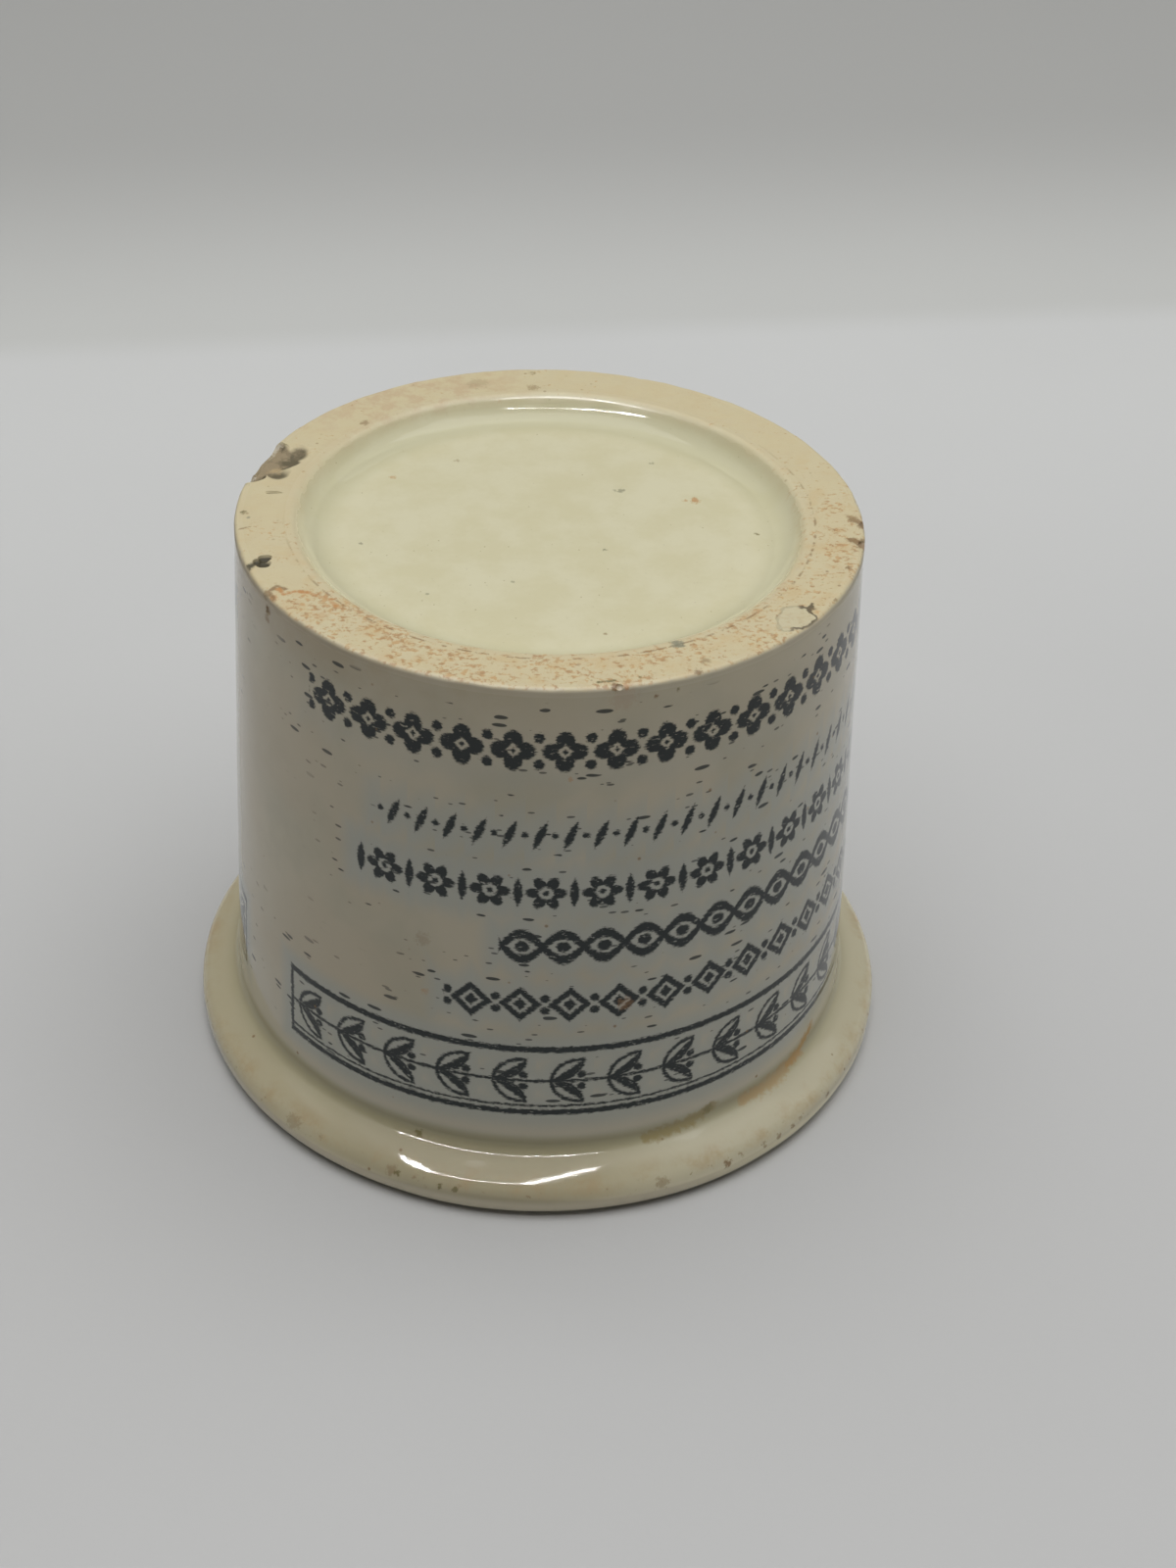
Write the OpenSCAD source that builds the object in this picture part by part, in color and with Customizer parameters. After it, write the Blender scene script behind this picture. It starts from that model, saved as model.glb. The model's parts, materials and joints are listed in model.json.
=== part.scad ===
// Ointment pot of glazed earthenware, standing mouth down as it is photographed.
// Millimetres. Z is the pot's axis, the mouth face lies on Z = 0 and the foot ring is on top.

/* [Overall] */
// Height from the mouth face to the foot ring
height = 36; // [28:0.5:48]
// Thickness of the glaze coat
glaze = 0.25; // [0.15:0.01:0.35]
// Width of the glaze that laps onto a flat that is left bare
glaze_lap = 0.2; // [0.05:0.05:0.3]

/* [Flange] */
// Distance that the flange stands out from the wall
flange_out = 2.5; // [1.5:0.1:8]
// Thickness of the flange at its edge
flange_edge = 2.1; // [1.6:0.1:4]
// Slope of the flange up to the wall, in degrees
flange_slope = 26; // [5:1:50]
// Radius of the flange's rounded edge
flange_round = 1; // [0.4:0.05:1.3]
// Radius of the hollow between the flange and the wall
neck_fillet = 0.9; // [0.6:0.1:4]
// Width of the bare flat on the mouth face
rim_bare = 2; // [1:0.1:2.6]

/* [Wall] */
// Diameter of the wall where it meets the flange
neck_d = 40; // [32:0.5:60]
// Diameter of the wall at the foot
foot_d = 37; // [32:0.5:46]
// Thickness of the wall
wall = 3.4; // [2.7:0.1:4.5]
// Radius of the mouth's inner lip
lip_round = 1.4; // [0.6:0.1:2]

/* [Base] */
// Thickness of the base at its middle
base = 3.2; // [2:0.1:6]
// Radius of the hollow round the inside of the base
cavity_fillet = 4; // [1:0.5:8]
// Width of the foot ring
ring_w = 3.5; // [2:0.1:5]
// Radius of the foot's outer edge
foot_round = 0.3; // [0.3:0.05:1]
// Radius of the foot ring's inner edge
ring_round = 0.7; // [0.4:0.05:0.8]
// Depth of the recess under the base
recess_depth = 1.4; // [1.3:0.1:2.5]
// Lean of the recess's side from the upright, in degrees
recess_lean = 35; // [32:1:55]
// Radius of the hollow round the recess floor
recess_fillet = 2.2; // [0.8:0.1:2.5]

/* [Hidden] */
neck_r = neck_d / 2;
flange_r = neck_r + flange_out;
foot_r = foot_d / 2;
ring_r = foot_r - ring_w;
// The flange's sloping face meets the wall at this height
neck_z = flange_edge + flange_out * tan(flange_slope);
// The wall closes in by this much for each millimetre of height
wall_lean = (neck_r - foot_r) / (height - neck_z);
mouth_r = neck_r + wall_lean * neck_z - wall;
cavity_z = height - recess_depth - base;
cavity_r = mouth_r - wall_lean * cavity_z;
recess_z = height - recess_depth;
recess_r = ring_r - recess_depth * tan(recess_lean);
// A disc is larger than its rounding by this hair, so that it crosses the sides and doesn't only touch them
disc_excess = 0.0002;
$fn = 180;

// Half section of the finished pot, anticlockwise: radius, height and rounding of each corner
FINISHED = [
    [mouth_r, 0, lip_round],
    [flange_r, 0, flange_round],
    [flange_r, flange_edge, flange_round],
    [neck_r, neck_z, neck_fillet],
    [foot_r, height, foot_round],
    [ring_r, height, ring_round],
    [recess_r, recess_z, recess_fillet],
    [0, recess_z, 0],
    [0, cavity_z, 0],
    [cavity_r, cavity_z, cavity_fillet]
];
LIP = 0;
FOOT = 4;
RING = 5;

// The glaze stops at these circles, and the clay between each pair is bare
rim_in = mouth_r + touch_length(FINISHED, LIP) + glaze_lap;
rim_out = rim_in + rim_bare;
ring_in = ring_r + touch_length(FINISHED, RING) + glaze_lap;
ring_out = foot_r - touch_length(FINISHED, FOOT) - glaze_lap;

// Half section of the clay, a glaze thickness inside the finished pot. Its hollows keep the
// finished radius, so that the glaze is thicker in them, as it is where it has run and pooled.
CLAY = [
    for (i = [0 : len(FINISHED) - 1])
        let (radius = FINISHED[i][2], inner = clay_corner(i))
            [inner[0], inner[1], is_convex(FINISHED, i) ? max(0, radius - glaze) : radius]
];

function place(section, i) =
    let (corner = section[(i + len(section)) % len(section)]) [corner[0], corner[1]];
function along(from, to) = (to - from) / norm(to - from);
function left_of(direction) = [-direction[1], direction[0]];
function arriving(section, i) = along(place(section, i - 1), place(section, i));
function leaving(section, i) = along(place(section, i), place(section, i + 1));
function is_convex(section, i) = cross(arriving(section, i), leaving(section, i)) > 0;

// Distance from a corner to where its rounding touches the sides
function touch_length(section, i) =
    section[i][2] * tan(acos(arriving(section, i) * leaving(section, i)) / 2);
function touch_start(section, i) =
    place(section, i) - arriving(section, i) * touch_length(section, i);
function touch_end(section, i) =
    place(section, i) + leaving(section, i) * touch_length(section, i);
function round_centre(section, i) =
    let (side = is_convex(section, i) ? 1 : -1)
        touch_start(section, i) + side * section[i][2] * left_of(arriving(section, i));

// The glaze covers every side of the section but the axis
function coat(from, to) = from[0] == 0 && to[0] == 0 ? 0 : glaze;
function clay_corner(i) =
    let (
        before = place(FINISHED, i - 1),
        here = place(FINISHED, i),
        after = place(FINISHED, i + 1),
        u = along(before, here),
        v = along(here, after),
        p = here + coat(before, here) * left_of(u),
        q = here + coat(here, after) * left_of(v)
    )
        p + u * cross(q - p, v) / cross(u, v);

// The disc of a corner's rounding
module corner_disc(section, i) {
    translate(round_centre(section, i)) circle(section[i][2] + disc_excess);
}

// A half section with true arcs: discs fill the outer corners and cut the hollow ones
module rounded(section) {
    corners = [for (i = [0 : len(section) - 1]) if (section[i][2] > 0) i];
    difference() {
        union() {
            polygon([
                for (i = [0 : len(section) - 1])
                    for (end = section[i][2] > 0 ? [0, 1] : [0])
                        end == 0 ? touch_start(section, i) : touch_end(section, i)
            ]);
            for (i = corners)
                if (is_convex(section, i)) corner_disc(section, i);
        }
        for (i = corners)
            if (!is_convex(section, i)) corner_disc(section, i);
    }
}

// A flat of bare clay that stands up through the glaze, twice as deep as the glaze
module bare_flat(from, to, z) {
    translate([from, z]) square([to - from, 2 * glaze]);
}

module clay_half() {
    rounded(CLAY);
    bare_flat(ring_in, ring_out, height - 2 * glaze);
    bare_flat(rim_in, rim_out, 0);
}

// The coat between the clay and the finished surface
module glaze_half() {
    difference() {
        rounded(FINISHED);
        clay_half();
    }
}

// Everything on the inner side of a line drawn up the middle of the wall
module inner_side() {
    polygon([
        [0, -glaze],
        [(rim_in + rim_out) / 2, -glaze],
        [neck_r - wall / 2, neck_z],
        [(ring_in + ring_out) / 2, height + glaze],
        [0, height + glaze]
    ]);
}

// Everything above a line drawn through the middle of the base
module base_side() {
    translate([0, cavity_z + base / 2]) square([flange_r, height]);
}

module clay_body() {
    color("wheat") rotate_extrude() clay_half();
}

module outer_glaze() {
    color("ivory") rotate_extrude() difference() {
        glaze_half();
        inner_side();
    }
}

module inner_glaze() {
    color("linen") rotate_extrude() difference() {
        intersection() {
            glaze_half();
            inner_side();
        }
        base_side();
    }
}

module base_glaze() {
    color("palegoldenrod") rotate_extrude() intersection() {
        glaze_half();
        inner_side();
        base_side();
    }
}

clay_body();
outer_glaze();
inner_glaze();
base_glaze();
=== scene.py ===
# %% [markdown]
# This lesson dresses a small ointment pot of glazed earthenware. The pot stands upside down, on its
# mouth, so the foot ring is on top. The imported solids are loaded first. They hold the true sizes, and
# every piece made below stays where they are.

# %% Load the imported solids
import json
import math

import bpy
from mathutils import Matrix, Vector

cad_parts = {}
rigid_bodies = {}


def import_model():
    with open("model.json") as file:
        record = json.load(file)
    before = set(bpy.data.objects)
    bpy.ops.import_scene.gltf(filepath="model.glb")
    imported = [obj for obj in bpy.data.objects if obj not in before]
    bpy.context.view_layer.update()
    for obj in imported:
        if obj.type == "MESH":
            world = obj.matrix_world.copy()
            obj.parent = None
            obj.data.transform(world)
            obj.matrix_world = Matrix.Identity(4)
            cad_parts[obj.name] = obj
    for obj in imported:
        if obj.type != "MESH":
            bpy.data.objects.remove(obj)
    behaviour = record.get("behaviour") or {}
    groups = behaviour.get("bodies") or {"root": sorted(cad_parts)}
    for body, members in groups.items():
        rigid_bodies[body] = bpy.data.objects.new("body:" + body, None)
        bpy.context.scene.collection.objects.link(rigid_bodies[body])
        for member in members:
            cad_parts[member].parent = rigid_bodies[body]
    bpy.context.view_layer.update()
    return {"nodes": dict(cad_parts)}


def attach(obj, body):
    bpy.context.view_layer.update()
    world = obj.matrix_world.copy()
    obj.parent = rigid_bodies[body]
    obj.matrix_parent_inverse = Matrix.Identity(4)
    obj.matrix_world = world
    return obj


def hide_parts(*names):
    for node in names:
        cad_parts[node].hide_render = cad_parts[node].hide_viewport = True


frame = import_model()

MM = 0.001
print("solids:", ", ".join(sorted(frame["nodes"])))

# %% [markdown]
# The camera stands in front of the pot and looks down at it. Its place and its three turns were worked
# out from the outlines of the foot, the wall and the flange. The turns are made one after another: the
# camera looks forward and down, and is then rolled a little about its own line of sight.

# %% Camera
CAMERA_PLACE = Vector((0, -0.12032437, 0.10577229))
CAMERA_PITCH = 0.6404981939
CAMERA_YAW = 0.0236058320
CAMERA_ROLL = 0.0398365910
LENS = 54
SENSOR = 36


def camera_turn(pitch, yaw, roll):
    """The camera's turn as a matrix, from how far it looks down, aside and leans."""
    level = Vector((math.sin(yaw), math.cos(yaw), 0))
    forward = level * math.cos(pitch) - Vector((0, 0, math.sin(pitch)))
    right = forward.cross(Vector((0, 0, 1))).normalized()
    up = right.cross(forward)
    rolled_right = right * math.cos(roll) + up * math.sin(roll)
    rolled_up = up * math.cos(roll) - right * math.sin(roll)
    return Matrix((rolled_right, rolled_up, -forward)).transposed()


bpy.ops.object.select_all(action="DESELECT")
bpy.ops.object.camera_add(location=CAMERA_PLACE)
camera = bpy.context.object
camera.rotation_euler = camera_turn(CAMERA_PITCH, CAMERA_YAW, CAMERA_ROLL).to_euler()
camera.data.lens = LENS
camera.data.sensor_width = SENSOR
camera.data.clip_start = 0.01
bpy.context.scene.camera = camera
bpy.context.scene.view_settings.view_transform = "Standard"
print("camera is", round(CAMERA_PLACE.length / MM), "mm from the mouth's middle")

# %% [markdown]
# A pot from the wheel is a half section turned round an axis. Its sizes come first, and they are those
# of the solids. What follows from them, such as the height where the flange's slope meets the wall, is
# worked out and not typed in.

# %% Sizes in millimetres
HEIGHT = 36.0
GLAZE = 0.25
LAP = 0.2
NECK_R = 20.0
FOOT_R = 18.5
FLANGE_R = 22.5
FLANGE_EDGE = 2.1
FLANGE_SLOPE = math.radians(26)
FLANGE_ROUND = 1.0
NECK_FILLET = 0.9
RIM_BARE = 2.0
WALL = 3.4
LIP_ROUND = 1.4
BASE = 3.2
CAVITY_FILLET = 4.0
RING_R = 15.0
FOOT_ROUND = 0.3
RING_ROUND = 0.7
RECESS_DEPTH = 1.4
RECESS_LEAN = math.radians(35)
RECESS_FILLET = 2.2

NECK_Z = FLANGE_EDGE + (FLANGE_R - NECK_R) * math.tan(FLANGE_SLOPE)
WALL_LEAN = (NECK_R - FOOT_R) / (HEIGHT - NECK_Z)
MOUTH_R = NECK_R + WALL_LEAN * NECK_Z - WALL
RECESS_Z = HEIGHT - RECESS_DEPTH
RECESS_R = RING_R - RECESS_DEPTH * math.tan(RECESS_LEAN)
CAVITY_Z = RECESS_Z - BASE
CAVITY_R = MOUTH_R - WALL_LEAN * CAVITY_Z
print("the flange's slope meets the wall", round(NECK_Z, 2), "mm up")

# %% [markdown]
# The half section is written as a few corners, each with a radius, a height and a rounding, and the
# roundings are worked out from them. The clay is the same section set back by the thickness of the
# glaze. Its hollows keep their radius, so the glaze is thicker there, as it is where it has run and
# pooled.

# %% Corners of the half section
FINISHED = [
    (MOUTH_R, 0, LIP_ROUND),
    (FLANGE_R, 0, FLANGE_ROUND),
    (FLANGE_R, FLANGE_EDGE, FLANGE_ROUND),
    (NECK_R, NECK_Z, NECK_FILLET),
    (FOOT_R, HEIGHT, FOOT_ROUND),
    (RING_R, HEIGHT, RING_ROUND),
    (RECESS_R, RECESS_Z, RECESS_FILLET),
    (0, RECESS_Z, 0),
    (0, CAVITY_Z, 0),
    (CAVITY_R, CAVITY_Z, CAVITY_FILLET),
]
LIP, FLANGE_LOW = 0, 1
FOOT, RING = 4, 5
AXIS_TOP, AXIS_LOW, CAVITY = 7, 8, 9


def spot(section, i):
    """A corner of a section as a point."""
    radius, height, rounding = section[i % len(section)]
    return Vector((radius, height))


def left_of(way):
    """The direction a quarter turn to the left."""
    return Vector((-way.y, way.x))


def corner(section, i):
    """The ways into and out of a corner, its side of turn, and how far its rounding reaches."""
    arriving = (spot(section, i) - spot(section, i - 1)).normalized()
    leaving = (spot(section, i + 1) - spot(section, i)).normalized()
    side = 1 if left_of(arriving).dot(leaving) > 0 else -1
    turn = math.acos(max(-1, min(1, arriving.dot(leaving))))
    return arriving, leaving, side, turn, section[i % len(section)][2] * math.tan(turn / 2)


def set_back(section, i):
    """A corner moved inwards by the glaze, with the rounding that the clay has there."""
    arriving, leaving, side, turn, reach = corner(section, i)
    before, here, after = spot(section, i - 1), spot(section, i), spot(section, i + 1)
    first = here + left_of(arriving) * (0 if before.x == here.x == 0 else GLAZE)
    second = here + left_of(leaving) * (0 if here.x == after.x == 0 else GLAZE)
    along = (second - first).dot(left_of(leaving)) / arriving.dot(left_of(leaving))
    rounding = section[i][2]
    moved = first + arriving * along
    return moved.x, moved.y, max(0, rounding - GLAZE) if side > 0 else rounding


CLAY = [set_back(FINISHED, i) for i in range(len(FINISHED))]
RIM_IN = MOUTH_R + corner(FINISHED, LIP)[4] + LAP
RIM_OUT = RIM_IN + RIM_BARE
RING_IN = RING_R + corner(FINISHED, RING)[4] + LAP
RING_OUT = FOOT_R - corner(FINISHED, FOOT)[4] - LAP
print("the foot ring is bare from", round(RING_IN, 2), "to", round(RING_OUT, 2), "mm")

# %% [markdown]
# Each piece's outline is a walk from corner to corner, there along the finished surface and back
# along the clay. Long straight stretches get extra points, so that the turned mesh has faces of an
# even size, which the later steps need for wobble and for chips.

# %% Outlines of the four pieces
ARC_STEP = math.radians(8)
LONGEST = 0.55


def rounded(section, i):
    """The points of one corner's rounding."""
    arriving, leaving, side, turn, reach = corner(section, i)
    here = spot(section, i)
    if reach < 1e-6:
        return [here]
    start = here - arriving * reach
    centre = start + left_of(arriving) * side * section[i % len(section)][2]
    steps = max(3, math.ceil(turn / ARC_STEP))
    turns = [side * turn * k / steps for k in range(steps + 1)]
    return [centre + Matrix.Rotation(angle, 2) @ (start - centre) for angle in turns]


def walk(section, first, last):
    """The points from one corner of a section to another."""
    return [point for i in range(first, last + 1) for point in rounded(section, i)]


def evenly(points):
    """The same closed outline with no stretch longer than LONGEST, but for the one on the axis."""
    even = []
    for here, after in zip(points, points[1:] + points[:1]):
        parts = 1 if here.x == after.x == 0 else max(1, math.ceil((after - here).length / LONGEST))
        even += [here.lerp(after, k / parts) for k in range(parts)]
    return even


def corner_points(*places):
    return [Vector(place) for place in places]


clay_outline = evenly(
    walk(CLAY, LIP, LIP)
    + corner_points((RIM_IN, GLAZE), (RIM_IN, 0), (RIM_OUT, 0), (RIM_OUT, GLAZE))
    + walk(CLAY, FLANGE_LOW, FOOT)
    + corner_points((RING_OUT, HEIGHT - GLAZE), (RING_OUT, HEIGHT))
    + corner_points((RING_IN, HEIGHT), (RING_IN, HEIGHT - GLAZE))
    + walk(CLAY, RING, CAVITY)
)
outer_outline = evenly(
    corner_points((RIM_OUT, 0))
    + walk(FINISHED, FLANGE_LOW, FOOT)
    + corner_points((RING_OUT, HEIGHT), (RING_OUT, HEIGHT - GLAZE))
    + walk(CLAY, FLANGE_LOW, FOOT)[::-1]
    + corner_points((RIM_OUT, GLAZE))
)
inner_outline = evenly(
    walk(FINISHED, AXIS_LOW, CAVITY)
    + walk(FINISHED, LIP, LIP)
    + corner_points((RIM_IN, 0), (RIM_IN, GLAZE))
    + walk(CLAY, LIP, LIP)[::-1]
    + walk(CLAY, AXIS_LOW, CAVITY)[::-1]
)
base_outline = evenly(
    corner_points((RING_IN, HEIGHT))
    + walk(FINISHED, RING, AXIS_TOP)
    + walk(CLAY, RING, AXIS_TOP)[::-1]
    + corner_points((RING_IN, HEIGHT - GLAZE))
)
print("points:", len(clay_outline), len(outer_outline), len(inner_outline), len(base_outline))

# %% [markdown]
# Spin does what the potter's wheel does. A circle with one vertex for each point is added, its
# vertices are put on the outline, the edge that lies on the axis is taken out, and the rest is spun
# through a full turn. The points on the axis are then many at one place, so doubles are merged, and
# the faces are made to point outwards.

# %% Throw the pieces
SPIN_STEPS = 300
DOUBLES = 1e-6


def open_edit(piece):
    """Opens one piece in edit mode with all of it selected."""
    bpy.ops.object.select_all(action="DESELECT")
    piece.select_set(True)
    bpy.context.view_layer.objects.active = piece
    bpy.ops.object.mode_set(mode="EDIT")
    bpy.ops.mesh.select_all(action="SELECT")


def thrown(name, outline):
    """Turns a closed half section on the pot's axis."""
    bpy.ops.object.select_all(action="DESELECT")
    bpy.ops.mesh.primitive_circle_add(vertices=len(outline), radius=FLANGE_R * MM)
    piece = bpy.context.object
    piece.name = name
    for vertex, point in zip(piece.data.vertices, outline):
        vertex.co = (point.x * MM, 0, point.y * MM)
    open_edit(piece)
    bpy.ops.mesh.select_all(action="DESELECT")
    bpy.ops.mesh.select_mode(type="EDGE")
    bpy.ops.object.mode_set(mode="OBJECT")
    for edge in piece.data.edges:
        edge.select = all(piece.data.vertices[i].co.x == 0 for i in edge.vertices)
    bpy.ops.object.mode_set(mode="EDIT")
    bpy.ops.mesh.delete(type="EDGE")
    bpy.ops.mesh.select_mode(type="VERT")
    bpy.ops.mesh.select_all(action="SELECT")
    bpy.ops.mesh.spin(steps=SPIN_STEPS, angle=math.tau, center=(0, 0, 0), axis=(0, 0, 1))
    bpy.ops.mesh.select_all(action="SELECT")
    bpy.ops.mesh.remove_doubles(threshold=DOUBLES)
    bpy.ops.mesh.normals_make_consistent(inside=False)
    bpy.ops.object.mode_set(mode="OBJECT")
    print(name, "has", len(piece.data.polygons), "faces")
    return piece


clay = thrown("pot_clay", clay_outline)
outer = thrown("pot_outer_glaze", outer_outline)
inner = thrown("pot_inner_glaze", inner_outline)
base = thrown("pot_base_glaze", base_outline)
coats = [clay, outer, inner, base]

# %% [markdown]
# Nothing made by hand is quite round. Every piece is drawn in by a hair, to leave room for it, and
# then a Displace modifier moves its points by a cloud texture. The texture is read in the object's
# own coordinates and moves points by red, green and blue along X, Y and Z, so clay and glaze move
# together. The outer edge of the foot is rubbed and nicked, so it gets a second, finer texture, held
# to that edge by a vertex group.

# %% Wobble of the wheel and rubbed foot edge
DRAWN_IN = 0.9965
WOBBLE = 0.00011
WOBBLE_SIZE = 0.011
RUB = 0.00014
RUB_SIZE = 0.0011
RUB_WIDTH = 0.6


def cloud(name, size):
    """A coloured cloud texture with lumps of a given size in metres."""
    texture = bpy.data.textures.new(name, "CLOUDS")
    texture.cloud_type = "COLOR"
    texture.noise_scale = size
    texture.noise_depth = 2
    return texture


def apply_modifier(piece, modifier):
    """Makes a modifier's shape part of the mesh."""
    bpy.ops.object.select_all(action="DESELECT")
    piece.select_set(True)
    bpy.context.view_layer.objects.active = piece
    bpy.ops.object.modifier_apply(modifier=modifier.name)


def push(piece, texture, strength, group=""):
    """Moves a piece's points by a cloud texture."""
    modifier = piece.modifiers.new("push", "DISPLACE")
    modifier.texture = texture
    modifier.texture_coords = "LOCAL"
    modifier.direction = "RGB_TO_XYZ"
    modifier.mid_level = 0.5
    modifier.strength = strength
    modifier.vertex_group = group
    apply_modifier(piece, modifier)


def foot_edge_weight(place):
    """1 on the outer edge of the foot and 0 a short way from it."""
    away = math.hypot(math.hypot(place.x, place.y) / MM - FOOT_R, place.z / MM - HEIGHT)
    return max(0.0, 1 - away / RUB_WIDTH)


wobble = cloud("wobble", WOBBLE_SIZE)
rub = cloud("rub", RUB_SIZE)
for piece in coats:
    open_edit(piece)
    bpy.ops.transform.resize(value=(DRAWN_IN,) * 3, center_override=(0, 0, HEIGHT / 2 * MM))
    bpy.ops.object.mode_set(mode="OBJECT")
    edge_group = piece.vertex_groups.new(name="foot_edge")
    for vertex in piece.data.vertices:
        weight = foot_edge_weight(vertex.co)
        if weight > 0:
            edge_group.add([vertex.index], weight, "REPLACE")
    push(piece, wobble, WOBBLE)
    push(piece, rub, RUB, edge_group.name)
    piece.vertex_groups.clear()
print("wobble up to", WOBBLE / 2 / MM, "mm, foot edge up to", RUB / 2 / MM, "mm")

# %% [markdown]
# The flange was finished by hand too. Its front slopes more steeply than the rest, but for one flatter
# stretch left of the middle. That shows in the two bright lines on it, which part over the flat stretch
# and run together beside it. Each point is moved up or down by a tilt about the flange's middle, and
# soft steps limit the tilt to the front.

# %% Uneven front of the flange
TILT = math.tan(math.radians(10))
TILT_MIDDLE_R = 21.2
TILT_CURVE = 0.7
FLAT_AZIMUTH = -7
FLAT_TO_LEFT = -25
FLAT_TO_RIGHT = 24
# Where the front's unevenness starts and where it is full, in degrees on the left and on the right
FRONT_LEFT = (-65, -35)
FRONT_RIGHT = (60, 30)
# The same for the height, in millimetres from below and from above
MOVED_FROM_BELOW = (1.1, 1.9)
MOVED_FROM_ABOVE = (4.4, 3.2)


def soft_step(value, start, end):
    """0 up to start and 1 from end on, with a soft step between."""
    share = max(0.0, min(1.0, (value - start) / (end - start)))
    return share * share * (3 - 2 * share)


def rise(azimuth, radius, height):
    """How far the flange is moved up at a place, in millimetres."""
    front = soft_step(azimuth, *FRONT_LEFT) * soft_step(azimuth, *FRONT_RIGHT)
    aside = azimuth - FLAT_AZIMUTH
    steep = soft_step(aside, 0, FLAT_TO_RIGHT if aside > 0 else FLAT_TO_LEFT)
    level = soft_step(height, *MOVED_FROM_BELOW) * soft_step(height, *MOVED_FROM_ABOVE)
    out = radius - TILT_MIDDLE_R
    return -TILT * front * steep * level * (out + TILT_CURVE * out * out)


for piece in (clay, outer):
    for vertex in piece.data.vertices:
        x, y, z = vertex.co / MM
        if math.hypot(x, y) > NECK_R - 1:
            vertex.co.z += rise(math.degrees(math.atan2(x, -y)), math.hypot(x, y), z) * MM
steepest = FLAT_AZIMUTH + FLAT_TO_RIGHT
print("the flange's edge drops by up to", round(-rise(steepest, FLANGE_R, FLANGE_EDGE), 2), "mm")

# %% [markdown]
# A chip is a bite out of the edge, through the glaze and into the clay. A pit is a small one in the
# bare ring. Each is written down as a ball: its place on the pot and its three half sizes. A ball that
# is flattened and stood against the edge leaves the shell-shaped hollow that a knock leaves in pottery.

# %% Places of the chips
# Azimuth in degrees, radius and height in mm, then half sizes along the edge, across it and upright
CHIPS = [
    (-107.5, 18.5, 36.15, 2.15, 2.75, 0.85),
    (-101.0, 18.3, 35.95, 1.0, 1.1, 0.6),
    (-111.5, 16.6, 36.1, 1.2, 1.0, 0.4),
    (-104.2, 16.75, 36.1, 1.35, 0.95, 0.4),
    (-69.3, 17.2, 36.08, 0.36, 0.42, 0.4),
    (-67.5, 17.45, 36.1, 0.42, 0.45, 0.42),
    (-68.5, 17.7, 36.05, 0.3, 0.26, 0.35),
    (88.5, 18.7, 35.95, 0.45, 0.6, 0.4),
    (81.5, 18.7, 35.95, 0.5, 0.65, 0.4),
    (97.5, 19.15, 36.3, 2.6, 0.9, 0.85),
    (-57.2, 18.62, 34.95, 0.22, 0.25, 0.4),
    (162.0, 18.45, 36.0, 0.6, 0.35, 0.35),
    (12.0, 18.45, 36.0, 0.3, 0.3, 0.3),
]
PITS = [
    (-94.6, 16.4, 36.0, 0.18, 0.5, 0.26),
    (-86.6, 17.95, 36.0, 0.25, 0.25, 0.2),
    (10.3, 17.9, 36.0, 0.5, 0.12, 0.12),
    (-175.4, 17.7, 36.0, 0.3, 0.25, 0.2),
]
print(len(CHIPS), "balls for chips and", len(PITS), "for pits")

# %% [markdown]
# A cloud texture makes the balls lumpy, and a Boolean modifier takes a whole collection of them away
# from each piece that they reach. The pits reach the clay alone.

# %% Knock the chips out
LUMPS = cloud("lumps", 0.0016)
LUMP_SHARE = 0.0007
LUMP_LEAST = 0.0001
BALL_LEVELS = 4


def bite(azimuth, radius, height, along, across, upright):
    """A lumpy ball at a place on the pot, given by azimuth from the front, radius and height."""
    bpy.ops.object.select_all(action="DESELECT")
    bpy.ops.mesh.primitive_ico_sphere_add(subdivisions=BALL_LEVELS, radius=MM)
    ball = bpy.context.object
    turned = math.radians(azimuth)
    place = Vector((radius * math.sin(turned), -radius * math.cos(turned), height)) * MM
    ball.matrix_world = Matrix.LocRotScale(
        place, Matrix.Rotation(turned, 3, "Z").to_quaternion(), Vector((along, across, upright))
    )
    bpy.ops.object.transform_apply(location=True, rotation=True, scale=True)
    push(ball, LUMPS, LUMP_SHARE * min(along, across, upright) + LUMP_LEAST)
    return ball


def knock_out(piece, bites):
    """Takes all the balls of a collection out of a piece."""
    modifier = piece.modifiers.new("chips", "BOOLEAN")
    modifier.operation = "DIFFERENCE"
    modifier.solver = "MANIFOLD"
    modifier.operand_type = "COLLECTION"
    modifier.collection = bites
    apply_modifier(piece, modifier)
    print(piece.name, "has", len(piece.data.polygons), "faces once chipped")


def gathered(name, places):
    """A collection of balls, one at each place."""
    collection = bpy.data.collections.new(name)
    bpy.context.scene.collection.children.link(collection)
    for place in places:
        ball = bite(*place)
        for holder in ball.users_collection:
            holder.objects.unlink(ball)
        collection.objects.link(ball)
    return collection


chip_balls = gathered("chip_balls", CHIPS)
pit_balls = gathered("pit_balls", PITS)
knock_out(outer, chip_balls)
knock_out(clay, chip_balls)
knock_out(clay, pit_balls)
for collection in (chip_balls, pit_balls):
    for ball in list(collection.objects):
        bpy.data.objects.remove(ball)
    bpy.data.collections.remove(collection)
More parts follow.
